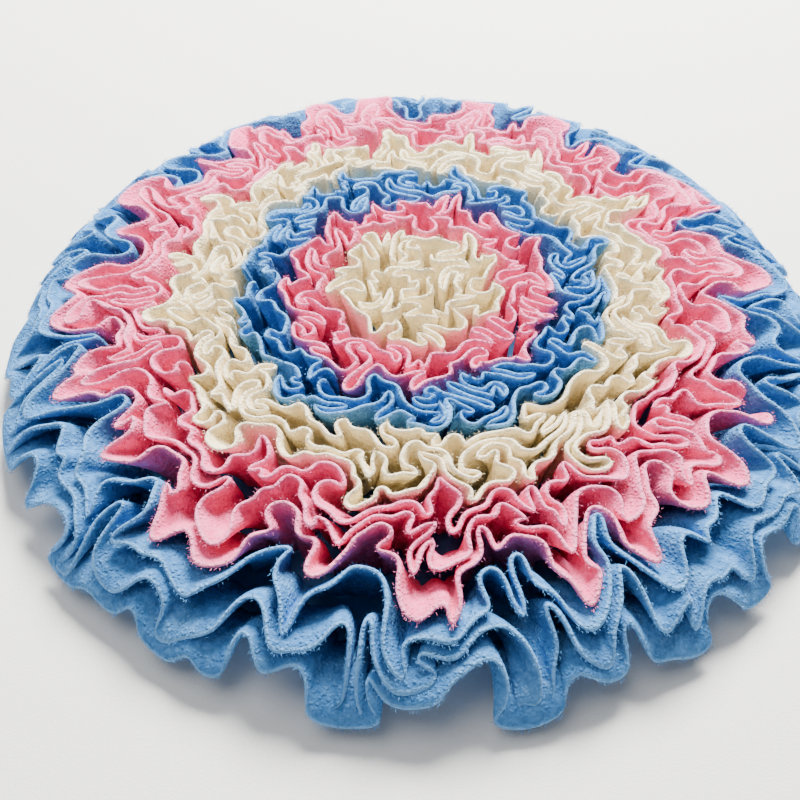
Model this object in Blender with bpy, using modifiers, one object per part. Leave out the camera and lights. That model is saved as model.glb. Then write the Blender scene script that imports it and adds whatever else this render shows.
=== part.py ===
"""Round snuffle mat: gathered fleece strips sewn by one edge in rings on a base cloth."""
import bpy
import bmesh
import numpy as np
from mathutils.kdtree import KDTree

MM = 0.001

# Driving sizes in millimetres.
CLOTH = 1.8
STRIP_WIDTH = 50.0
BASE_RADIUS = 198.0
BASE_THICK = 3.0
SEAM_GAP = 0.4
JOIN_GAP = 7.0
ROUND_TIP = 2.6
GATHER_REACH = 25.0
CLEAR = 3.2
FOLD_CLEAR = 2.5

# Shares and counts.
SEWN_SHARE = 0.16
SAMPLES = 1600
MOVES = 6
EASE = 0.85
EASE_ROUNDS = 16
STRAY = 42.0
TURN_COST = 10.0

# Strips from the middle outward. ring: radius on the flattened top; folds: waves round
# the ring; depth: swing of a wave; lean: how far a wave topples; start: phase and the
# place of the join; step: length of cloth a column covers; levels: columns across.
STRIPS = (
    # name        colour   ring   folds depth lean  start step  levels
    ("core_1",    "cream",   9.0,   3,  3.0,  0.0,  0.3,  6.0,  1),
    ("core_2",    "cream",  22.0,   7,  5.0,  0.6,  1.0,  7.1,  1),
    ("core_3",    "cream",  36.0,  11,  5.0, -0.6,  2.0, 10.0,  1),
    ("pinkin_1",  "pink",   51.0,  14,  5.2,  0.8,  2.6,  9.5,  1),
    ("pinkin_2",  "pink",   66.0,  18,  5.2, -0.5,  0.5,  9.3,  1),
    ("bluein_1",  "blue",   81.0,  22,  5.0,  0.6,  4.1,  9.5,  1),
    ("bluein_2",  "blue",   97.0,  25,  5.0,  0.8,  3.0,  9.5,  1),
    ("cream_1",   "cream", 112.0,  23,  5.2, -0.6,  0.7, 10.0,  1),
    ("cream_2",   "cream", 127.0,  24,  5.2,  0.8,  5.3, 10.0,  1),
    ("cream_3",   "cream", 142.0,  23,  5.2,  0.7,  1.9,  9.8,  1),
    ("pink_1",    "pink",  158.0,  22,  5.6, -0.6,  3.7, 10.2,  1),
    ("pink_2",    "pink",  174.0,  21,  5.6,  0.8,  1.1, 11.6,  2),
    ("pink_3",    "pink",  190.0,  20,  5.6,  0.8,  5.8, 11.6,  2),
    ("blue_1",    "blue",  206.0,  19,  5.4, -0.5,  2.7, 12.0,  2),
    ("blue_2",    "blue",  221.0,  19,  5.0,  0.6,  4.6, 12.0,  2),
    ("blue_3",    "blue",  236.0,  18,  4.6,  0.5,  0.2, 12.0,  2),
)

# How the strips splay, read across from ring to ring.
SPLAY = (
    # ring   seam  foot tilt  edge tilt
    (0.0,     0.0,   0.0,       0.0),
    (44.0,   40.0,   3.0,       6.0),
    (107.0,  96.0,  11.0,      17.0),
    (150.0, 131.0,  20.0,      30.0),
    (170.0, 147.0,  23.0,      40.0),
    (190.0, 162.0,  25.0,      56.0),
    (215.0, 180.0,  30.0,      82.0),
    (240.0, 196.0,  38.0,     112.0),
    (262.0, 204.0,  46.0,     138.0),
)

# Curls that fold neighbouring strips over together; draw picks their scatter.
CURLS = (
    # ring   count reach  turn  draw
    (26.0,    7,   13.0,  151.0,   9),
    (44.0,   11,   15.0,  151.0,   8),
    (62.0,   14,   16.0,  151.0,   3),
    (80.0,   17,   17.0,  151.0,  10),
    (98.0,   19,   18.0,  157.0,   6),
    (116.0,  19,   21.0,  157.0,  13),
    (136.0,  20,   24.0,  162.0,   3),
    (158.0,  20,   27.0,  162.0,   7),
    (182.0,  19,   30.0,  162.0,   7),
    (208.0,  19,   33.0,  157.0,   7),
    (236.0,  18,   30.0,  130.0,  12),
)

FLEECE = {
    "cream": (0.83, 0.79, 0.66),
    "pink": (0.86, 0.33, 0.47),
    "blue": (0.27, 0.50, 0.80),
}


def scatter_curls():
    """Place the curls round their rings; returns centre x, centre y, reach and turn."""
    curls = []
    for ring, count, reach, turn, draw in CURLS:
        chance = np.random.default_rng(draw)
        for place in range(count):
            angle = 2 * np.pi * (place + chance.uniform(-0.3, 0.3)) / count
            radius = ring + chance.uniform(-0.2, 0.2) * reach
            side = 1.0 if chance.uniform() < 0.5 else -1.0
            size = reach * chance.uniform(0.9, 1.15)
            spin = side * np.radians(turn) * chance.uniform(0.75, 1.1)
            curls.append((radius * np.cos(angle), radius * np.sin(angle), size, spin))
    return curls


def curls_by(curls, ring):
    """The curls near enough to a ring to move its strip."""
    return [curl for curl in curls
            if abs(np.hypot(curl[0], curl[1]) - ring) < curl[2] + STRAY]


def pull_of(curls, x, y):
    """Sideways pull of all the curls at each place."""
    pull_x = np.zeros_like(x)
    pull_y = np.zeros_like(y)
    for centre_x, centre_y, reach, spin in curls:
        off_x = x - centre_x
        off_y = y - centre_y
        near = 1 - (off_x * off_x + off_y * off_y) / reach ** 2
        weight = spin * np.maximum(near, 0.0) ** 2
        pull_x -= weight * off_y
        pull_y += weight * off_x
    return pull_x, pull_y


def stir(curls, x, y, share):
    """Carry places along with the curls, in small equal moves."""
    part = share / MOVES
    for _ in range(MOVES):
        first_x, first_y = pull_of(curls, x, y)
        half_x = x + first_x * part / 2
        half_y = y + first_y * part / 2
        move_x, move_y = pull_of(curls, half_x, half_y)
        x = x + move_x * part
        y = y + move_y * part
    return x, y


def gathered(strip, curls, angle, height):
    """Plan of a strip at one height: 0 is the sewn edge and 1 the free edge."""
    name, colour, ring, folds, depth, lean, start, step, levels = strip
    uneven = 0.9 * np.sin(2 * angle + start)
    uneven = uneven + 0.8 * np.sin(3 * angle + 2.3 * start)
    uneven = uneven + 0.7 * np.sin(5 * angle + 1.3 * start + 1)
    wave = folds * angle + 2 * start + uneven
    loose = 0.25 + 0.75 * height
    swing = depth * loose * (0.82 + 0.18 * np.sin(4 * angle + 3 * start))
    pitch = 2 * np.pi * ring / folds
    topple = lean * depth * (0.6 + 0.8 * np.sin(3 * angle + 5 * start))
    slide = loose ** 2 * (0.08 * pitch * np.sin(2 * wave) + topple * np.sin(wave))
    radius = ring + swing * np.sin(wave)
    turned = angle + slide / ring
    share = SEWN_SHARE + (1 - SEWN_SHARE) * height
    return stir(curls, radius * np.cos(turned), radius * np.sin(turned), share)


def lay(x, y, height):
    """Stand a place of the plan up on the base, leaning as its ring does."""
    table = np.array(SPLAY)
    ring = np.hypot(x, y)
    seam = np.interp(ring, table[:, 0], table[:, 1])
    foot = np.radians(np.interp(ring, table[:, 0], table[:, 2])) + 1e-4
    edge = np.radians(np.interp(ring, table[:, 0], table[:, 3])) + 2e-4
    bend = edge - foot
    tilt = foot + bend * height
    out = seam + STRIP_WIDTH * (np.cos(foot) - np.cos(tilt)) / bend
    rest = BASE_THICK + SEAM_GAP + 0.5 * CLOTH * np.sin(0.5 * (foot + edge))
    up = rest + STRIP_WIDTH * (np.sin(tilt) - np.sin(foot)) / bend
    return np.stack([out * x / ring, out * y / ring, up], axis=-1)


def eased(path, passes):
    """Round a path off, keeping its two ends."""
    for _ in range(passes):
        path[1:-1] = 0.25 * path[:-2] + 0.5 * path[1:-1] + 0.25 * path[2:]
    return path


def evened(values, reach):
    """Mean over the places within reach, so the seam is gathered evenly under a fold."""
    padded = np.pad(values, reach, mode="reflect", reflect_type="odd")
    return np.convolve(padded, np.ones(2 * reach + 1) / (2 * reach + 1), mode="valid")


def along(path):
    """Distance from the start of a path to each of its places."""
    moves = np.hypot(np.diff(path[:, 0]), np.diff(path[:, 1]))
    return np.concatenate([[0.0], np.cumsum(moves)])


def fold_strip(strip, curls):
    """A strip's middle surface as columns by levels: its plan and how it stands."""
    ring, start, step, levels = strip[2], strip[6], strip[7], strip[8]
    curls = curls_by(curls, ring)
    gap = 0.5 * JOIN_GAP / ring
    angle = np.linspace(start + gap, start + 2 * np.pi - gap, SAMPLES)
    for _ in range(2):
        path = np.stack(gathered(strip, curls, angle, 1.0), axis=-1)
        run = along(path)
        angle = np.interp(np.linspace(0, run[-1], SAMPLES), run, angle)
    even = evened(angle, int(GATHER_REACH * SAMPLES / run[-1]))
    passes = int(2 * (ROUND_TIP * SAMPLES / run[-1]) ** 2)
    heights = np.linspace(0, 1, levels + 1)
    plans = []
    for height in heights:
        feet = angle + (even - angle) * (1 - height)
        plan = np.stack(gathered(strip, curls, feet, height), axis=-1)
        plans.append(eased(plan, passes))
    columns = pick_columns(plans[-1], step)
    plan = np.stack([level[columns] for level in plans], axis=1)
    sheets = [lay(level[columns, 0], level[columns, 1], height)
              for level, height in zip(plans, heights)]
    return np.concatenate([plan, np.stack(sheets, axis=1)], axis=2)


def pick_columns(path, step):
    """Choose where the columns go: closer together where the free edge turns."""
    run = along(path)
    ahead = np.gradient(path, axis=0)
    facing = np.unwrap(np.arctan2(ahead[:, 1], ahead[:, 0]))
    turning = eased(np.abs(np.gradient(facing)), 20)
    cost = run + TURN_COST * np.cumsum(turning)
    wanted = np.linspace(0, cost[-1], int(run[-1] / step) + 1)
    return np.searchsorted(cost, wanted * 0.999999)


def spread(grid, across=7, between=5):
    """Places spread over a strip's panels, as samples by heights."""
    at = np.linspace(0, grid.shape[1] - 1, across)
    low = np.minimum(at.astype(int), grid.shape[1] - 2)
    mix = (at - low)[None, :, None]
    grid = grid[:, low] * (1 - mix) + grid[:, low + 1] * mix
    mix = np.linspace(0, 1, between, endpoint=False)[None, :, None, None]
    grid = grid[:-1, None] * (1 - mix) + grid[1:, None] * mix
    return grid.reshape(-1, across, grid.shape[-1])


def tree_of(places):
    tree = KDTree(len(places))
    for index, place in enumerate(places):
        tree.insert(place, index)
    tree.balance()
    return tree


def touching_places(sheets):
    """Plan positions where a strip comes too near the next one or itself."""
    spreads = [spread(sheet) for sheet in sheets]
    trees = [tree_of(grid[:, :, 2:].reshape(-1, 3)) for grid in spreads]
    found = []
    for number, grid in enumerate(spreads):
        heights = grid.shape[1]
        steps = np.linalg.norm(np.diff(grid[:, :, 2:], axis=0), axis=2)
        runs = np.concatenate([np.zeros((1, heights)), np.cumsum(steps, axis=0)])
        runs = runs.reshape(-1)
        for index, place in enumerate(grid.reshape(-1, 5)):
            if number + 1 < len(sheets):
                if trees[number + 1].find(place[2:])[2] < CLEAR:
                    found.append(place[:2])
            if index % 2 == 0:
                continue
            for other in trees[number].find_range(place[2:], FOLD_CLEAR):
                if abs(runs[other[1]] - runs[index]) > 3 * FOLD_CLEAR:
                    found.append(place[:2])
                    break
    return np.array(found)


def settle(curls):
    """Ease curls off a little at a time until the strips clear one another."""
    for _ in range(EASE_ROUNDS):
        sheets = [fold_strip(strip, curls) for strip in STRIPS]
        found = touching_places(sheets)
        if len(found) == 0:
            break
        calmer = []
        for x, y, reach, spin in curls:
            away = np.hypot(found[:, 0] - x, found[:, 1] - y).min()
            calmer.append((x, y, reach, spin * (EASE if away < reach else 1.0)))
        curls = calmer
    return sheets


def make_material(name, tint):
    material = bpy.data.materials.new(name)
    material.use_nodes = True
    shader = material.node_tree.nodes["Principled BSDF"]
    shader.inputs["Base Color"].default_value = (*tint, 1.0)
    shader.inputs["Roughness"].default_value = 0.9
    return material


def add_piece(name, form, tint, collection):
    """Turn a finished bmesh into a named object with its own material."""
    mesh = bpy.data.meshes.new(name)
    form.to_mesh(mesh)
    form.free()
    piece = bpy.data.objects.new(name, mesh)
    mesh.materials.append(make_material(name, tint))
    collection.objects.link(piece)
    return piece


def make_ruffle(strip, sheet, collection):
    """Grid the strip, move its vertices into folds, then give the cloth thickness."""
    places = sheet[:, :, 2:] * MM
    columns, rows = places.shape[:2]
    form = bmesh.new()
    bmesh.ops.create_grid(form, x_segments=columns - 1, y_segments=rows - 1, size=0.5)
    for vert in form.verts:
        column = int(round((vert.co.x + 0.5) * (columns - 1)))
        row = int(round((vert.co.y + 0.5) * (rows - 1)))
        vert.co = places[column, row]
    piece = add_piece(strip[0], form, FLEECE[strip[1]], collection)
    cloth = piece.modifiers.new("cloth", "SOLIDIFY")
    cloth.thickness = CLOTH * MM
    cloth.offset = 0.0
    return piece


def make_base(collection):
    """Flat round cloth that carries the strips."""
    form = bmesh.new()
    bmesh.ops.create_circle(form, cap_ends=True, segments=72, radius=BASE_RADIUS * MM)
    piece = add_piece("base", form, FLEECE["blue"], collection)
    cloth = piece.modifiers.new("cloth", "SOLIDIFY")
    cloth.thickness = BASE_THICK * MM
    cloth.offset = 1.0
    return piece


def build():
    for thing in list(bpy.data.objects):
        bpy.data.objects.remove(thing, do_unlink=True)
    mat = bpy.data.collections.new("snuffle_mat")
    bpy.context.scene.collection.children.link(mat)
    make_base(mat)
    for strip, sheet in zip(STRIPS, settle(scatter_curls())):
        make_ruffle(strip, sheet, mat)


build()
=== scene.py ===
import math
from collections import namedtuple

import bmesh
import bpy
import numpy as np
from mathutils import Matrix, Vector
from mathutils.kdtree import KDTree


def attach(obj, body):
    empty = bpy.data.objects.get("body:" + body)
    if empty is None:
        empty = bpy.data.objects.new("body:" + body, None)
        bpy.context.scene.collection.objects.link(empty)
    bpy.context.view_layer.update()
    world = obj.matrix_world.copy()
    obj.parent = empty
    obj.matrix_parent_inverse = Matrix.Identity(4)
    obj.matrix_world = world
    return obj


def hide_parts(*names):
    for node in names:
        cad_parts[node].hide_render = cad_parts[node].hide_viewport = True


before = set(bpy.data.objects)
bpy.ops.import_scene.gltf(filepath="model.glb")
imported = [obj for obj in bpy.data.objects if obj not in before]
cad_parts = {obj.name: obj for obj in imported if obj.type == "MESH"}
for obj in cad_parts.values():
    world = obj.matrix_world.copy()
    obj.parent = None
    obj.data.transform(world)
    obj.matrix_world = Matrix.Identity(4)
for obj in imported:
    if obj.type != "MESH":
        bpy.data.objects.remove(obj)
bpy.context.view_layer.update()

MM = 0.001

# ---------------------------------------------------------------- cut and sewing
# Lengths are in millimetres up to the point where a mesh is filled.

STRIP_WIDTH = 50.0
BASE_RADIUS = 198.0
BASE_THICK = 3.0
BASE_INSET = 1.0
SEAM_GAP = 0.4
CAD_CLOTH = 1.8
FLEECE_THICK = 2.8
JOIN_GAP = 7.0
ROUND_TIP = 2.6
GATHER_REACH = 25.0
SEWN_SHARE = 0.16

# How the main folds are worked out and kept clear of one another.
CLEAR = 3.2
FOLD_CLEAR = 2.5
SAMPLES = 1600
MOVES = 6
EASE = 0.85
EASE_ROUNDS = 16
STRAY = 42.0
TUCK_STRAY = 12.0
TURN_COST = 10.0
SOFT_TURN_COST = 4.0

Strip = namedtuple("Strip", "name colour ring folds depth lean start step levels")
STRIPS = tuple(Strip(*row) for row in (
    # name        colour   ring   folds depth lean  start step  levels
    ("core_1",    "cream",   9.0,   3,  3.0,  0.0,  0.3,  6.0,  1),
    ("core_2",    "cream",  22.0,   7,  5.0,  0.6,  1.0,  7.1,  1),
    ("core_3",    "cream",  36.0,  11,  5.0, -0.6,  2.0, 10.0,  1),
    ("pinkin_1",  "pink",   51.0,  14,  5.2,  0.8,  2.6,  9.5,  1),
    ("pinkin_2",  "pink",   66.0,  18,  5.2, -0.5,  0.5,  9.3,  1),
    ("bluein_1",  "blue",   81.0,  22,  5.0,  0.6,  4.1,  9.5,  1),
    ("bluein_2",  "blue",   97.0,  25,  5.0,  0.8,  3.0,  9.5,  1),
    ("cream_1",   "cream", 112.0,  23,  5.2, -0.6,  0.7, 10.0,  1),
    ("cream_2",   "cream", 127.0,  24,  5.2,  0.8,  5.3, 10.0,  1),
    ("cream_3",   "cream", 142.0,  23,  5.2,  0.7,  1.9,  9.8,  1),
    ("pink_1",    "pink",  158.0,  22,  5.6, -0.6,  3.7, 10.2,  1),
    ("pink_2",    "pink",  174.0,  21,  5.6,  0.8,  1.1, 11.6,  2),
    ("pink_3",    "pink",  190.0,  20,  5.6,  0.8,  5.8, 11.6,  2),
    ("blue_1",    "blue",  206.0,  19,  5.4, -0.5,  2.7, 12.0,  2),
    ("blue_2",    "blue",  221.0,  19,  5.0,  0.6,  4.6, 12.0,  2),
    ("blue_3",    "blue",  236.0,  18,  4.6,  0.5,  0.2, 12.0,  2),
))

SPLAY = np.array((
    # ring   seam  foot tilt  edge tilt
    (0.0,     0.0,   0.0,       0.0),
    (44.0,   40.0,   3.0,       6.0),
    (107.0,  96.0,  11.0,      17.0),
    (150.0, 131.0,  20.0,      30.0),
    (170.0, 147.0,  23.0,      40.0),
    (190.0, 162.0,  25.0,      56.0),
    (215.0, 180.0,  30.0,      82.0),
    (240.0, 196.0,  38.0,     112.0),
    (262.0, 204.0,  46.0,     138.0),
))

# How the soft cloth leans: upright at the seam, flopping towards its free edge.
DRAPE = np.array((
    # ring   seam  foot tilt  edge tilt
    (0.0,     0.0,   0.0,       0.0),
    (44.0,   44.5,   2.0,       9.0),
    (66.0,   65.0,   3.0,      11.0),
    (97.0,   91.0,   5.0,      14.0),
    (107.0,  98.0,   6.0,      15.0),
    (142.0, 124.0,   8.0,      21.0),
    (158.0, 135.0,   9.0,      28.0),
    (174.0, 147.0,  10.0,      36.0),
    (190.0, 161.0,  10.0,      44.0),
    (206.0, 174.0,  10.0,      62.0),
    (221.0, 185.0,  12.0,     100.0),
    (236.0, 195.5,  17.0,     140.0),
    (262.0, 203.0,  26.0,     166.0),
))
DRAPE_POWER = 1.15
DRAPE_STEPS = 12

CURLS = (
    # ring   count reach  turn  draw
    (26.0,    7,   13.0,  151.0,   9),
    (44.0,   11,   15.0,  151.0,   8),
    (62.0,   14,   16.0,  151.0,   3),
    (80.0,   17,   17.0,  151.0,  10),
    (98.0,   19,   18.0,  157.0,   6),
    (116.0,  19,   21.0,  157.0,  13),
    (136.0,  20,   24.0,  162.0,   3),
    (158.0,  20,   27.0,  162.0,   7),
    (182.0,  19,   30.0,  162.0,   7),
    (208.0,  19,   33.0,  157.0,   7),
    (236.0,  18,   30.0,  130.0,  12),
)

# Small hooks that fold the soft cloth closer than the main folds do.
TUCKS = (
    # ring   count reach  turn  draw
    (11.0,    3,    9.0, 150.0,  21),
    (22.0,    6,   10.0, 150.0,  22),
    (35.0,    9,   11.0, 150.0,  23),
    (59.0,   14,   10.5, 120.0,  24),
    (74.0,   16,   11.0, 120.0,  25),
    (89.0,   18,   11.0, 120.0,  26),
    (104.0,  20,   11.5, 120.0,  27),
    (119.0,  22,   12.0, 120.0,  28),
    (134.0,  24,   12.5, 120.0,  29),
    (150.0,  24,   13.5, 120.0,  30),
    (166.0,  24,   14.5, 120.0,  31),
    (182.0,  23,   15.5, 120.0,  32),
    (198.0,  22,   17.0, 120.0,  33),
    (214.0,  20,   19.0, 120.0,  34),
    (229.0,  18,   19.0, 110.0,  35),
)

# Waves that neighbouring rows share, so that their folds nest.
SWELLS = (
    # folds ring   reach  depth  drift
    (8,     24.0,  24.0,   3.0,  0.3),
    (15,    54.0,  36.0,   4.0,  1.1),
    (24,    90.0,  44.0,   4.5,  2.9),
    (29,   134.0,  48.0,   4.5,  0.8),
    (31,   176.0,  44.0,   4.5,  4.2),
    (22,   232.0,  56.0,   6.0,  1.9),
)
SWELL_TWIST = 45.0

# Sideways sway that topples the folds over one another.
SWAY = 9.0
SWAY_PITCH = 41.0

# Tight gathers at the seam, which open into soft waves at the free edge.
SEAM_TIP = 1.0
INNER_TIP = 0.5
SOFT_TIP = 85.0
GATHER_PITCH = 11.0
GATHER_DEPTH = 4.6
FINE_STEP = 3.9
FINE_SAMPLES = 3000
HEIGHTS = np.array((0.0, 0.35, 0.65, 0.86, 1.0))

# The free edges lengthen and crowd one another until their rows are full.
# Growth and spring are pairs of ring and value: the outer rows bend in longer hooks.
CROWD_STEP = 2.0
CROWD_GAP = 4.5
CROWD_SKIP = 4
CROWD_GROWTH = ((0, 0.40), (100, 0.45), (160, 0.66), (250, 0.64))
CROWD_SPRING = ((0, 0.40), (110, 0.40), (160, 0.26), (205, 0.13))
CROWD_BEND = 0.09
CROWD_REACH = 15.0
CROWD_HOME = 0.002
CROWD_TURNS = 160
CROWD_HASTE = 1.5
CROWD_PUSH = 0.22
CROWD_STRIDE = 0.8
CROWD_FOOT = 1.3

# The raw edge was cut by hand: size, reach and phase of its waver.
CUT_WOBBLE = ((0.9, 17.0, 1), (0.7, 7.3, 2), (1.2, 61.0, 3))

# Loose fibres, per metre of strip.
EDGE_FIBRES = 1700
FACE_FIBRES = 1200
FIBRE_LENGTH = 1.6
FIBRE_WIDTH = 0.24
FIBRE_TAPER = 0.25

# Where they stand: shares of the strip's width and of the cloth's thickness.
FACE_REACH = 0.55
FACE_FADE = 1.5
FACE_DEPTH = 0.46
EDGE_DEPTH = 0.48

# ---------------------------------------------------------------- looks

FLEECE = {
    # colour: lit nap, shaded nap, highlight; the lit and shaded tones are painted light and shade
    # in the pile, the highlight tone is a painted highlight on the free edge, sheen patches and
    # fibres
    "cream": ((1.00, 0.89, 0.62), (0.94, 0.75, 0.43), (1.00, 0.93, 0.73)),
    "pink": ((0.95, 0.21, 0.41), (0.84, 0.08, 0.24), (0.98, 0.36, 0.57)),
    "blue": ((0.085, 0.27, 0.60), (0.03, 0.135, 0.36), (0.20, 0.46, 0.82)),
}
BASE_FELT = (0.06, 0.20, 0.45)
FLOOR_PAINT = (0.80, 0.80, 0.79)


# ---------------------------------------------------------------- folding the strips

def scatter_curls(table=CURLS):
    """Place the curls round their rings; each is centre x, centre y, reach and turn."""
    curls = []
    for ring, count, reach, turn, draw in table:
        chance = np.random.default_rng(draw)
        for place in range(count):
            angle = 2 * np.pi * (place + chance.uniform(-0.3, 0.3)) / count
            radius = ring + chance.uniform(-0.2, 0.2) * reach
            side = 1.0 if chance.uniform() < 0.5 else -1.0
            size = reach * chance.uniform(0.9, 1.15)
            spin = side * np.radians(turn) * chance.uniform(0.75, 1.1)
            curls.append((radius * np.cos(angle), radius * np.sin(angle), size, spin))
    return curls


def curls_by(curls, ring, stray=STRAY):
    """The curls near enough to a ring to move its strip."""
    return [curl for curl in curls
            if abs(np.hypot(curl[0], curl[1]) - ring) < curl[2] + stray]


def pull_of(curls, x, y):
    """Sideways pull of all the curls at each place."""
    pull_x = np.zeros_like(x)
    pull_y = np.zeros_like(y)
    for centre_x, centre_y, reach, spin in curls:
        off_x = x - centre_x
        off_y = y - centre_y
        near = 1 - (off_x * off_x + off_y * off_y) / reach ** 2
        weight = spin * np.maximum(near, 0.0) ** 2
        pull_x -= weight * off_y
        pull_y += weight * off_x
    return pull_x, pull_y


def stir(curls, x, y, share):
    """Carry places along with the curls, in small equal moves."""
    part = share / MOVES
    for _ in range(MOVES):
        first_x, first_y = pull_of(curls, x, y)
        half_x = x + first_x * part / 2
        half_y = y + first_y * part / 2
        move_x, move_y = pull_of(curls, half_x, half_y)
        x = x + move_x * part
        y = y + move_y * part
    return x, y


def swell(x, y, share):
    """Push neighbouring rows in and out together."""
    ring = np.hypot(x, y)
    angle = np.arctan2(y, x)
    push = np.ones_like(ring)
    for folds, centre, reach, depth, drift in SWELLS:
        near = np.maximum(1 - ((ring - centre) / reach) ** 2, 0.0) ** 2
        wave = folds * angle + drift + ring / SWELL_TWIST
        wave = wave + 1.1 * np.sin(3 * angle + drift) + 0.9 * np.sin(5 * angle + 2 * drift)
        size = 0.85 + 0.3 * np.sin(4 * angle + drift) * np.sin(7 * angle + ring / 33)
        push = push + share * near * depth * size * np.sin(wave) / ring
    return x * push, y * push


def sway(x, y, share):
    """Slide each ring round by its own amount, one way and then the other."""
    ring = np.hypot(x, y)
    angle = np.arctan2(y, x)
    phase = 2 * np.pi * ring / SWAY_PITCH
    phase = phase + 1.3 * np.sin(3 * angle + 0.5) + 0.8 * np.sin(5 * angle)
    shift = share * np.minimum(SWAY, 0.13 * ring) * np.sin(phase) / ring
    turn_x, turn_y = np.cos(shift), np.sin(shift)
    return x * turn_x - y * turn_y, x * turn_y + y * turn_x


def gathered(strip, curls, angle, height, crinkle=0.0, tucks=()):
    """Plan of a strip at one height: 0 is the sewn edge and 1 the free edge."""
    ring, folds, depth = strip.ring, strip.folds, strip.depth
    lean, start = strip.lean, strip.start
    uneven = 0.9 * np.sin(2 * angle + start)
    uneven = uneven + 0.8 * np.sin(3 * angle + 2.3 * start)
    uneven = uneven + 0.7 * np.sin(5 * angle + 1.3 * start + 1)
    wave = folds * angle + 2 * start + uneven
    loose = 0.25 + 0.75 * height
    swing = depth * loose * (0.82 + 0.18 * np.sin(4 * angle + 3 * start))
    pitch = 2 * np.pi * ring / folds
    topple = lean * depth * (0.6 + 0.8 * np.sin(3 * angle + 5 * start))
    slide = loose ** 2 * (0.08 * pitch * np.sin(2 * wave) + topple * np.sin(wave))
    radius = ring + swing * np.sin(wave)
    if crinkle:
        count = round(2 * np.pi * ring / GATHER_PITCH)
        small = count * angle + 1.7 * np.sin(6 * angle + 2 * start) + 1.1 * np.sin(11 * angle)
        size = crinkle * (1 - height) * (0.75 + 0.25 * np.sin(7 * angle + 4 * start))
        radius = radius + size * np.sin(small)
        fold_back = 0.5 * ring / count * (1 - height)
        slide = slide - fold_back * np.sin(2 * small) + 0.2 * size * np.cos(small + 0.6)
    turned = angle + slide / ring
    x, y = radius * np.cos(turned), radius * np.sin(turned)
    if tucks:
        x, y = swell(x, y, 0.3 + 0.7 * height)
        x, y = sway(x, y, height)
        x, y = stir(tucks, x, y, height ** 0.7)
    share = SEWN_SHARE + (1 - SEWN_SHARE) * height
    return stir(curls, x, y, share)


def lay(x, y, height):
    """Stand a place of the plan up on the base, leaning as its ring does."""
    ring = np.hypot(x, y)
    seam = np.interp(ring, SPLAY[:, 0], SPLAY[:, 1])
    foot = np.radians(np.interp(ring, SPLAY[:, 0], SPLAY[:, 2])) + 1e-4
    edge = np.radians(np.interp(ring, SPLAY[:, 0], SPLAY[:, 3])) + 2e-4
    bend = edge - foot
    tilt = foot + bend * height
    out = seam + STRIP_WIDTH * (np.cos(foot) - np.cos(tilt)) / bend
    rest = BASE_THICK + SEAM_GAP + 0.5 * CAD_CLOTH * np.sin(0.5 * (foot + edge))
    up = rest + STRIP_WIDTH * (np.sin(tilt) - np.sin(foot)) / bend
    return np.stack([out * x / ring, out * y / ring, up], axis=-1)


def eased(path, passes):
    """Round a path off, keeping its two ends."""
    for _ in range(passes):
        path[1:-1] = 0.25 * path[:-2] + 0.5 * path[1:-1] + 0.25 * path[2:]
    return path


def evened(values, reach):
    """Mean over the places within reach, so the seam is gathered evenly under a fold."""
    padded = np.pad(values, reach, mode="reflect", reflect_type="odd")
    return np.convolve(padded, np.ones(2 * reach + 1) / (2 * reach + 1), mode="valid")


def along(path):
    """Distance from the start of a path to each of its places."""
    moves = np.hypot(np.diff(path[:, 0]), np.diff(path[:, 1]))
    return np.concatenate([[0.0], np.cumsum(moves)])


def pick_columns(path, step, turn_cost=TURN_COST):
    """Choose where the columns go: closer together where the free edge turns."""
    run = along(path)
    ahead = np.gradient(path, axis=0)
    facing = np.unwrap(np.arctan2(ahead[:, 1], ahead[:, 0]))
    turning = eased(np.abs(np.gradient(facing)), 20)
    cost = run + turn_cost * np.cumsum(turning)
    wanted = np.linspace(0, cost[-1], int(run[-1] / step) + 1)
    return np.searchsorted(cost, wanted * 0.999999)


def plan_levels(strip, curls, samples, heights, crinkle=0.0, tucks=()):
    """A strip's plan at each height, with places evenly spaced along its free edge."""
    ring, start = strip.ring, strip.start
    curls = curls_by(curls, ring)
    tucks = curls_by(tucks, ring, TUCK_STRAY)
    gap = 0.5 * JOIN_GAP / ring
    angle = np.linspace(start + gap, start + 2 * np.pi - gap, samples)
    for _ in range(2):
        path = np.stack(gathered(strip, curls, angle, 1.0, crinkle, tucks), axis=-1)
        run = along(path)
        angle = np.interp(np.linspace(0, run[-1], samples), run, angle)
    even = evened(angle, int(GATHER_REACH * samples / run[-1]))
    plans = []
    for height in heights:
        tip = ROUND_TIP if not crinkle else SEAM_TIP + (INNER_TIP + ring / SOFT_TIP) * height
        passes = int(2 * (tip * samples / run[-1]) ** 2)
        feet = angle + (even - angle) * (1 - height)
        plan = np.stack(gathered(strip, curls, feet, height, crinkle, tucks), axis=-1)
        plans.append(eased(plan, passes))
    return plans


def fold_strip(strip, curls):
    """A strip's main folds as columns by levels: its plan and how it stands."""
    heights = np.linspace(0, 1, strip.levels + 1)
    plans = plan_levels(strip, curls, SAMPLES, heights)
    columns = pick_columns(plans[-1], strip.step)
    plan = np.stack([level[columns] for level in plans], axis=1)
    sheets = [lay(level[columns, 0], level[columns, 1], height)
              for level, height in zip(plans, heights)]
    return np.concatenate([plan, np.stack(sheets, axis=1)], axis=2)


def spread(grid, across=7, between=5):
    """Places spread over a strip's panels, as samples by heights."""
    at = np.linspace(0, grid.shape[1] - 1, across)
    low = np.minimum(at.astype(int), grid.shape[1] - 2)
    mix = (at - low)[None, :, None]
    grid = grid[:, low] * (1 - mix) + grid[:, low + 1] * mix
    mix = np.linspace(0, 1, between, endpoint=False)[None, :, None, None]
    grid = grid[:-1, None] * (1 - mix) + grid[1:, None] * mix
    return grid.reshape(-1, across, grid.shape[-1])


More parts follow.
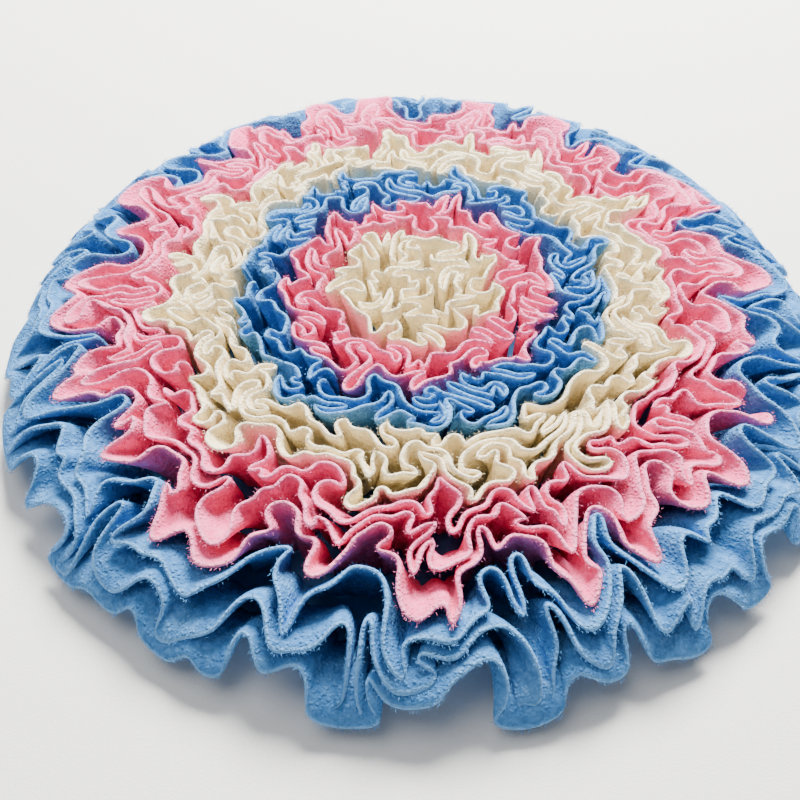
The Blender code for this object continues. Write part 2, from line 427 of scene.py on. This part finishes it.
def tree_of(places):
    tree = KDTree(len(places))
    for index, place in enumerate(places):
        tree.insert(place, index)
    tree.balance()
    return tree


def touching_places(sheets):
    """Plan positions where a strip comes too near the next one or itself."""
    spreads = [spread(sheet) for sheet in sheets]
    trees = [tree_of(grid[:, :, 2:].reshape(-1, 3)) for grid in spreads]
    found = []
    for number, grid in enumerate(spreads):
        heights = grid.shape[1]
        steps = np.linalg.norm(np.diff(grid[:, :, 2:], axis=0), axis=2)
        runs = np.concatenate([np.zeros((1, heights)), np.cumsum(steps, axis=0)])
        runs = runs.reshape(-1)
        for index, place in enumerate(grid.reshape(-1, 5)):
            if number + 1 < len(sheets):
                if trees[number + 1].find(place[2:])[2] < CLEAR:
                    found.append(place[:2])
            if index % 2 == 0:
                continue
            for other in trees[number].find_range(place[2:], FOLD_CLEAR):
                if abs(runs[other[1]] - runs[index]) > 3 * FOLD_CLEAR:
                    found.append(place[:2])
                    break
    return np.array(found)


def settle(curls):
    """Ease curls off a little at a time until the strips clear one another."""
    for _ in range(EASE_ROUNDS):
        sheets = [fold_strip(strip, curls) for strip in STRIPS]
        found = touching_places(sheets)
        if len(found) == 0:
            break
        calmer = []
        for x, y, reach, spin in curls:
            away = np.hypot(found[:, 0] - x, found[:, 1] - y).min()
            calmer.append((x, y, reach, spin * (EASE if away < reach else 1.0)))
        curls = calmer
    return curls


# ---------------------------------------------------------------- fleece pieces

def drape(x, y, height, width):
    """Stand soft cloth up on the base: it leaves the seam upright and flops near its edge."""
    ring = np.hypot(x, y)
    seam = np.interp(ring, DRAPE[:, 0], DRAPE[:, 1])
    foot = np.radians(np.interp(ring, DRAPE[:, 0], DRAPE[:, 2]))
    bend = np.radians(np.interp(ring, DRAPE[:, 0], DRAPE[:, 3])) - foot
    out = seam
    rest = BASE_THICK + SEAM_GAP + 0.5 * FLEECE_THICK * np.sin(foot)
    up = rest
    for step in range(DRAPE_STEPS):
        part = height * (step + 0.5) / DRAPE_STEPS
        tilt = foot + bend * part ** DRAPE_POWER
        out = out + width * height / DRAPE_STEPS * np.sin(tilt)
        up = up + width * height / DRAPE_STEPS * np.cos(tilt)
    return np.stack([out * x / ring, out * y / ring, up], axis=-1)


def near_pairs(places, reach):
    """Pairs of places within reach of each other, found by sorting them into squares."""
    square = np.floor(places / reach).astype(int)
    square = square - square.min(axis=0) + 1
    line = square[:, 1].max() + 3
    key = square[:, 0] * line + square[:, 1]
    order = np.argsort(key, kind="stable")
    sorted_key = key[order]
    ours, theirs = [], []
    for step in (0, 1, line - 1, line, line + 1):
        first = np.searchsorted(sorted_key, sorted_key + step, "left")
        last = np.searchsorted(sorted_key, sorted_key + step, "right")
        if step == 0:
            first = np.arange(len(key)) + 1
        count = last - first
        before = np.cumsum(count) - count
        ours.append(order[np.repeat(np.arange(len(key)), count)])
        theirs.append(order[np.arange(count.sum()) + np.repeat(first - before, count)])
    return np.concatenate(ours), np.concatenate(theirs)


def respaced(rows, count):
    """The same rows of numbers, read off at another count of even steps."""
    at = np.linspace(0, len(rows) - 1, count)
    row = np.arange(len(rows))
    return np.stack([np.interp(at, row, rows[:, k]) for k in (0, 1)], axis=-1)


def held_to(moves, most):
    """Moves cut down to a greatest length."""
    length = np.linalg.norm(moves, axis=1, keepdims=True)
    return moves * np.minimum(1, most / np.maximum(length, 1e-9))


def crowd(paths):
    """How far the free edges move as they lengthen, round their turns and make room."""
    threads = [respaced(path, int(along(path)[-1] / CROWD_STEP)) for path in paths]
    owner = np.repeat(np.arange(len(threads)), [len(thread) for thread in threads])
    home = np.concatenate(threads)
    tied = (owner[1:] == owner[:-1])[:, None]
    free = np.zeros((len(home), 1))
    free[1:-1] = tied[1:] & tied[:-1]
    rest = np.linalg.norm(np.diff(home, axis=0), axis=1, keepdims=True)
    ring = np.hypot(home[:, 0], home[:, 1])
    growth = np.interp(ring[1:], *np.transpose(CROWD_GROWTH))[:, None]
    spring = np.interp(ring[1:], *np.transpose(CROWD_SPRING))[:, None]
    place = home.copy()
    for turn in range(CROWD_TURNS):
        wanted = rest * (1 + growth * min(1.0, CROWD_HASTE * turn / CROWD_TURNS))
        links = np.diff(place, axis=0) * tied
        bow = np.zeros_like(place)
        bow[:-1] += links
        bow[1:] -= links
        bow *= free
        bend = np.diff(bow, axis=0) * tied
        length = np.linalg.norm(links, axis=1, keepdims=True)
        pull = spring * links * (1 - wanted / np.maximum(length, 1e-6))
        move = np.zeros_like(place)
        move[:-1] += pull - CROWD_BEND * bend
        move[1:] -= pull - CROWD_BEND * bend
        ours, theirs = near_pairs(place, CROWD_GAP)
        apart = place[ours] - place[theirs]
        space = np.linalg.norm(apart, axis=1)
        touch = (space < CROWD_GAP) & ((owner[ours] != owner[theirs])
                                       | (np.abs(ours - theirs) > CROWD_SKIP))
        ours, theirs, apart, space = ours[touch], theirs[touch], apart[touch], space[touch]
        push = CROWD_PUSH * apart * (CROWD_GAP / np.maximum(space, 0.2) - 1)[:, None]
        for k in (0, 1):
            move[:, k] += np.bincount(ours, push[:, k], len(place))
            move[:, k] -= np.bincount(theirs, push[:, k], len(place))
        off = place + held_to(move, CROWD_STRIDE) * free - home
        place = home + held_to(off, CROWD_REACH) * (1 - CROWD_HOME)
    return [respaced((place - home)[owner == number], len(path))
            for number, path in enumerate(paths)]


def soft_plans(curls, tucks):
    """Every strip's plan at the soft cloth's heights, crowded at the free edge."""
    plans = [plan_levels(strip, curls, FINE_SAMPLES, HEIGHTS, GATHER_DEPTH, tucks)
             for strip in STRIPS]
    for levels, shift in zip(plans, crowd([levels[-1] for levels in plans])):
        for number, height in enumerate(HEIGHTS):
            levels[number] = levels[number] + shift * height ** CROWD_FOOT
    return plans


def soft_strip(strip, plans):
    """The soft strip's middle surface and its run along the free edge."""
    columns = pick_columns(plans[-1], FINE_STEP, SOFT_TURN_COST)
    run = along(plans[-1])[columns]
    width = STRIP_WIDTH
    for size, reach, turn in CUT_WOBBLE:
        width = width + size * np.sin(run / reach + turn * strip.start)
    levels = [drape(level[columns, 0], level[columns, 1], height, width)
              for level, height in zip(plans, HEIGHTS)]
    return np.stack(levels, axis=1) * MM, run * MM


def make_piece(form, name, finish):
    """Turn a worked form into an object with its finish."""
    mesh = bpy.data.meshes.new(name)
    form.to_mesh(mesh)
    form.free()
    mesh.materials.append(finish)
    piece = bpy.data.objects.new(name, mesh)
    bpy.context.scene.collection.objects.link(piece)
    return piece


def make_strip_piece(strip, plans, finish, fibre):
    """Grid the strip, move its vertices into the folds and thicken it softly."""
    places, run = soft_strip(strip, plans)
    columns, rows = places.shape[:2]
    form = bmesh.new()
    bmesh.ops.create_grid(form, x_segments=columns - 1, y_segments=rows - 1, size=0.5)
    piece = make_piece(form, "ruffle_" + strip.name, finish)
    mesh = piece.data
    flat = np.zeros(len(mesh.vertices) * 3)
    mesh.vertices.foreach_get("co", flat)
    flat = flat.reshape(-1, 3)
    column = np.rint((flat[:, 0] + 0.5) * (columns - 1)).astype(int)
    row = np.rint((flat[:, 1] + 0.5) * (rows - 1)).astype(int)
    mesh.vertices.foreach_set("co", places[column, row].astype(np.float32).reshape(-1))
    corner = np.zeros(len(mesh.loops), int)
    mesh.loops.foreach_get("vertex_index", corner)
    layer = mesh.uv_layers.new(name="cloth")
    cut = np.stack([run[column], HEIGHTS[row] * STRIP_WIDTH * MM], axis=-1)
    layer.data.foreach_set("uv", cut[corner].astype(np.float32).reshape(-1))
    mesh.polygons.foreach_set("use_smooth", np.ones(len(mesh.polygons), bool))
    mesh.update()
    cloth = piece.modifiers.new("cloth", "SOLIDIFY")
    cloth.thickness = FLEECE_THICK * MM
    cloth.offset = 0.0
    soft = piece.modifiers.new("soft", "SUBSURF")
    soft.levels = 1
    soft.render_levels = 1
    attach(piece, "root")
    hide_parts(strip.name)
    fuzz = make_fuzz(strip, places, run, fibre)


def fibre_corners(places, run, chance):
    """Four corners of each loose fibre: the ones on the raw edge come first."""
    edge_count = int(run[-1] * EDGE_FIBRES)
    count = edge_count + int(run[-1] * FACE_FIBRES)
    columns, rows = places.shape[:2]
    column = chance.uniform(0, columns - 1.001, count)
    level = (1 - FACE_REACH * chance.uniform(0, 1, count) ** FACE_FADE) * (rows - 1) * 0.999
    level[:edge_count] = (rows - 1) * 0.999
    low_c, low_r = column.astype(int), level.astype(int)
    part_c, part_r = (column - low_c)[:, None], (level - low_r)[:, None]
    first = places[low_c, low_r] * (1 - part_c) + places[low_c + 1, low_r] * part_c
    next_up = places[low_c, low_r + 1] * (1 - part_c) + places[low_c + 1, low_r + 1] * part_c
    along_cloth = unit(places[low_c + 1, low_r + 1] - places[low_c, low_r + 1])
    up_cloth = unit(next_up - first)
    out_cloth = unit(np.cross(along_cloth, up_cloth))
    side = np.where(chance.uniform(0, 1, count) < 0.5, -1.0, 1.0)[:, None]
    depth = side * FACE_DEPTH
    depth[:edge_count] = chance.uniform(-EDGE_DEPTH, EDGE_DEPTH, (edge_count, 1))
    root = first * (1 - part_r) + next_up * part_r + out_cloth * depth * FLEECE_THICK * MM
    swing = chance.normal(0, 1, (3, count, 1))
    lean = 0.7 * side * out_cloth + 0.5 * swing[0] * along_cloth + 0.5 * swing[1] * up_cloth
    lean[:edge_count] = (0.8 * up_cloth + 0.45 * swing[0] * along_cloth
                         + 0.45 * swing[2] * out_cloth)[:edge_count]
    lean = unit(lean)
    reach = chance.uniform(0.5, 1.0, (count, 1)) * FIBRE_LENGTH * MM
    across = unit(np.cross(lean, chance.normal(0, 1, (count, 3)))) * 0.5 * FIBRE_WIDTH * MM
    tip = root + lean * reach
    tip_across = FIBRE_TAPER * across
    return np.stack([root - across, root + across, tip + tip_across, tip - tip_across], axis=1)


def make_fuzz(strip, places, run, finish):
    """Loose fibres: thick along the raw edge, thin over the upper part of both faces."""
    chance = np.random.default_rng(int(100 * strip.start) + 7)
    corners = fibre_corners(places, run, chance)
    form = bmesh.new()
    bmesh.ops.create_grid(form, x_segments=len(corners), y_segments=1, size=0.5)
    bmesh.ops.split_edges(form, edges=form.edges)
    piece = make_piece(form, "fuzz_" + strip.name, finish)
    mesh = piece.data
    corner = np.zeros(len(mesh.loops), int)
    mesh.loops.foreach_get("vertex_index", corner)
    spots = np.zeros((len(mesh.vertices), 3))
    spots[corner] = corners.reshape(-1, 3)
    mesh.vertices.foreach_set("co", spots.astype(np.float32).reshape(-1))
    mesh.update()
    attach(piece, "root")
    return piece


def unit(moves):
    return moves / np.maximum(np.linalg.norm(moves, axis=-1, keepdims=True), 1e-12)


# ---------------------------------------------------------------- finishes

class Shade:
    """A socket of a finish that takes plain sums."""

    def __init__(self, tree, socket):
        self.tree = tree
        self.socket = socket

    def sum_with(self, other, what, other_first=False):
        node = self.tree.nodes.new("ShaderNodeMath")
        node.operation = what
        pair = (other, self) if other_first else (self, other)
        for place, value in zip(node.inputs, pair):
            plug(self.tree, value, place)
        return Shade(self.tree, node.outputs[0])

    def __add__(self, other):
        return self.sum_with(other, "ADD")

    def __radd__(self, other):
        return self.sum_with(other, "ADD")

    def __sub__(self, other):
        return self.sum_with(other, "SUBTRACT")

    def __rsub__(self, other):
        return self.sum_with(other, "SUBTRACT", True)

    def __mul__(self, other):
        return self.sum_with(other, "MULTIPLY")

    def __rmul__(self, other):
        return self.sum_with(other, "MULTIPLY")


def plug(tree, value, place):
    """Link a shade into a socket, or set the socket to a plain value."""
    if isinstance(value, Shade):
        tree.links.new(value.socket, place)
    else:
        place.default_value = value


class Finish:
    """A material whose nodes are added one call at a time."""

    def __init__(self, name):
        self.material = bpy.data.materials.new(name)
        self.material.use_nodes = True
        self.tree = self.material.node_tree
        self.shader = self.tree.nodes["Principled BSDF"]

    def add(self, kind, settings, inputs, out=0):
        node = self.tree.nodes.new(kind)
        for key, value in settings.items():
            setattr(node, key, value)
        for key, value in inputs.items():
            plug(self.tree, value, node.inputs[key])
        return Shade(self.tree, node.outputs[out])

    def ramp(self, value, low, high):
        """0 below low, 1 above high, smooth between."""
        return self.add("ShaderNodeMapRange", {"interpolation_type": "SMOOTHSTEP"},
                        {"Value": value, "From Min": low, "From Max": high})

    def mix(self, factor, first, second, blend="MIX"):
        return self.add("ShaderNodeMix", {"data_type": "RGBA", "blend_type": blend},
                        {0: factor, 6: first, 7: second}, 2)

    def set(self, **values):
        for key, value in values.items():
            plug(self.tree, value, self.shader.inputs[key.replace("_", " ")])


def tone(colour):
    return (*colour, 1.0)


def fleece_finish(name, lit, shaded_nap, highlight_tone):
    """Napped fleece: soft pile, small pills, faint knit ribs, painted light and shade in the pile,
    painted sheen patches and a painted highlight along the raw edge.
    """
    finish = Finish(name)
    cloth = finish.add("ShaderNodeUVMap", {"uv_map": "cloth"}, {})
    parts = finish.tree.nodes.new("ShaderNodeSeparateXYZ")
    plug(finish.tree, cloth, parts.inputs[0])
    up = Shade(finish.tree, parts.outputs[1])
    across = Shade(finish.tree, parts.outputs[0])
    place = finish.add("ShaderNodeTexCoord", {}, {}, 3)
    pile = finish.add("ShaderNodeTexNoise", {}, {"Vector": place, "Scale": 1100.0, "Detail": 3.0})
    clumps = finish.add("ShaderNodeTexNoise", {}, {"Vector": place, "Scale": 330.0, "Detail": 3.0})
    patches = finish.add("ShaderNodeTexNoise", {}, {"Vector": place, "Scale": 75.0, "Detail": 2.0})
    pills = finish.add("ShaderNodeTexVoronoi", {}, {"Vector": place, "Scale": 430.0})
    pill = 1 - finish.ramp(pills, 0.12, 0.5)
    rib = finish.add("ShaderNodeMath", {"operation": "SINE"}, {0: across * 2900.0})
    ragged = finish.add("ShaderNodeTexNoise", {}, {"Vector": place, "Scale": 420.0, "Detail": 2.0})
    # Band along the top of the free edge that is painted paler: a painted highlight where light
    # falls on the rim.
    edge = finish.ramp(up + 0.0016 * ragged, 0.0488, 0.0506)
    # Where the pile's clumps stand high: painted lit there, painted shaded in the hollows between.
    lit_nap_mask = finish.ramp(clumps, 0.32, 0.68)
    # Patches of nap that are painted paler: painted sheen.
    sheen_patch = finish.ramp(patches, 0.42, 0.68)
    # Painted light and shade in the pile: the lit tone on raised pile, the shaded tone in its
    # hollows.
    colour = finish.mix(lit_nap_mask * 0.5 + 0.3 * pile + 0.1, tone(shaded_nap), tone(lit))
    # Painted sheen on those patches, with the pills painted lighter inside them.
    colour = finish.mix(sheen_patch * (0.08 + 0.2 * lit_nap_mask), colour, tone(highlight_tone))
    colour = finish.mix(pill * sheen_patch * 0.45, colour, tone(highlight_tone))
    # Painted highlight along the free edge.
    colour = finish.mix(edge * 0.6, colour, tone(highlight_tone))
    height = pile * 0.6 + clumps * 0.8 + pill * 0.5 + rib * 0.03
    bump = finish.add("ShaderNodeBump", {},
                      {"Strength": 1.0, "Distance": 0.0011, "Height": height})
    finish.set(Base_Color=colour, Roughness=0.95, Normal=bump)
    finish.shader.inputs["Specular IOR Level"].default_value = 0.15
    finish.shader.inputs["Sheen Weight"].default_value = 0.10
    finish.shader.inputs["Sheen Roughness"].default_value = 0.6
    finish.shader.inputs["Sheen Tint"].default_value = tone(highlight_tone)
    return finish.material


def fibre_finish(name, lit, highlight_tone):
    """Loose pile fibres, coloured between the lit nap tone and the painted highlight tone."""
    finish = Finish(name)
    place = finish.add("ShaderNodeTexCoord", {}, {}, 3)
    grain = finish.add("ShaderNodeTexNoise", {}, {"Vector": place, "Scale": 300.0, "Detail": 2.0})
    finish.set(Base_Color=finish.mix(grain, tone(lit), tone(highlight_tone)), Roughness=0.9)
    finish.shader.inputs["Specular IOR Level"].default_value = 0.1
    return finish.material


def plain_finish(name, colour, rough):
    finish = Finish(name)
    place = finish.add("ShaderNodeTexCoord", {}, {}, 3)
    grain = finish.add("ShaderNodeTexNoise", {}, {"Vector": place, "Scale": 900.0, "Detail": 3.0})
    pale = tuple(min(1.0, c * 1.12) for c in colour)
    finish.set(Base_Color=finish.mix(grain, tone(colour), tone(pale)), Roughness=rough)
    bump = finish.add("ShaderNodeBump", {}, {"Strength": 0.5, "Distance": 0.0004, "Height": grain})
    finish.set(Normal=bump)
    return finish.material


# ---------------------------------------------------------------- base, floor, light

def make_base_cloth(felt):
    """Flat felt round under the ruffles."""
    radius = (BASE_RADIUS - BASE_INSET) * MM
    form = bmesh.new()
    bmesh.ops.create_circle(form, cap_ends=True, segments=96, radius=radius)
    up = bmesh.ops.extrude_face_region(form, geom=form.faces[:])
    top = [part for part in up["geom"] if isinstance(part, bmesh.types.BMVert)]
    bmesh.ops.translate(form, verts=top, vec=(0, 0, BASE_THICK * MM))
    bmesh.ops.recalc_face_normals(form, faces=form.faces)
    rims = [edge for edge in form.edges if abs(edge.verts[0].co.z - edge.verts[1].co.z) < 1e-6]
    bmesh.ops.bevel(form, geom=rims, offset=0.0007, segments=2, profile=0.5,
                    affect="EDGES", material=-1)
    piece = make_piece(form, "base_cloth", felt)
    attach(piece, "root")
    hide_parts("base")


def make_floor():
    form = bmesh.new()
    bmesh.ops.create_grid(form, x_segments=1, y_segments=1, size=3.0)
    bmesh.ops.translate(form, verts=form.verts, vec=(0, 0, -0.0002))
    make_piece(form, "floor", plain_finish("floor_paint", FLOOR_PAINT, 0.7))


def make_light(name, place, size, power, colour=(1, 1, 1)):
    lamp = bpy.data.lights.new(name, "AREA")
    lamp.shape = "DISK"
    lamp.size = size
    lamp.energy = power
    lamp.color = colour
    thing = bpy.data.objects.new(name, lamp)
    thing.location = place
    aim = Vector((0, 0, 0.02)) - Vector(place)
    thing.rotation_euler = aim.to_track_quat("-Z", "Y").to_euler()
    bpy.context.scene.collection.objects.link(thing)


def make_room():
    make_floor()
    make_light("window", (0.25, 1.25, 1.45), 0.9, 205.0, (1.0, 0.98, 0.93))
    make_light("ceiling", (-0.6, 0.1, 1.7), 1.4, 14.0, (1.0, 0.99, 0.97))
    world = bpy.data.worlds.new("room")
    world.use_nodes = True
    back = world.node_tree.nodes["Background"]
    back.inputs["Color"].default_value = (0.90, 0.94, 1.0, 1.0)
    back.inputs["Strength"].default_value = 0.30
    bpy.context.scene.world = world


def make_camera():
    lens = bpy.data.cameras.new("camera")
    lens.lens = 42.75
    lens.sensor_width = 36.0
    lens.clip_start = 0.01
    camera = bpy.data.objects.new("camera", lens)
    camera.location = (-0.010, -0.395, 0.415)
    camera.rotation_euler = (math.radians(40.4), 0.0, 0.0)
    bpy.context.scene.collection.objects.link(camera)
    bpy.context.scene.camera = camera


# ---------------------------------------------------------------- put together

curls = settle(scatter_curls())
finishes = {name: fleece_finish(name + "_fleece", *tones) for name, tones in FLEECE.items()}
felt = plain_finish("base_felt", BASE_FELT, 0.95)
make_base_cloth(felt)
tucks = scatter_curls(TUCKS)
fibres = {name: fibre_finish(name + "_fibre", lit, highlight_tone)
          for name, (lit, shaded_nap, highlight_tone) in FLEECE.items()}
for strip, plans in zip(STRIPS, soft_plans(curls, tucks)):
    make_strip_piece(strip, plans, finishes[strip.colour], fibres[strip.colour])
colours = {strip.name: strip.colour for strip in STRIPS}
for name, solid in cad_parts.items():
    solid.data.materials.clear()
    solid.data.materials.append(fibres[colours[name]] if name in colours else felt)
make_room()
make_camera()
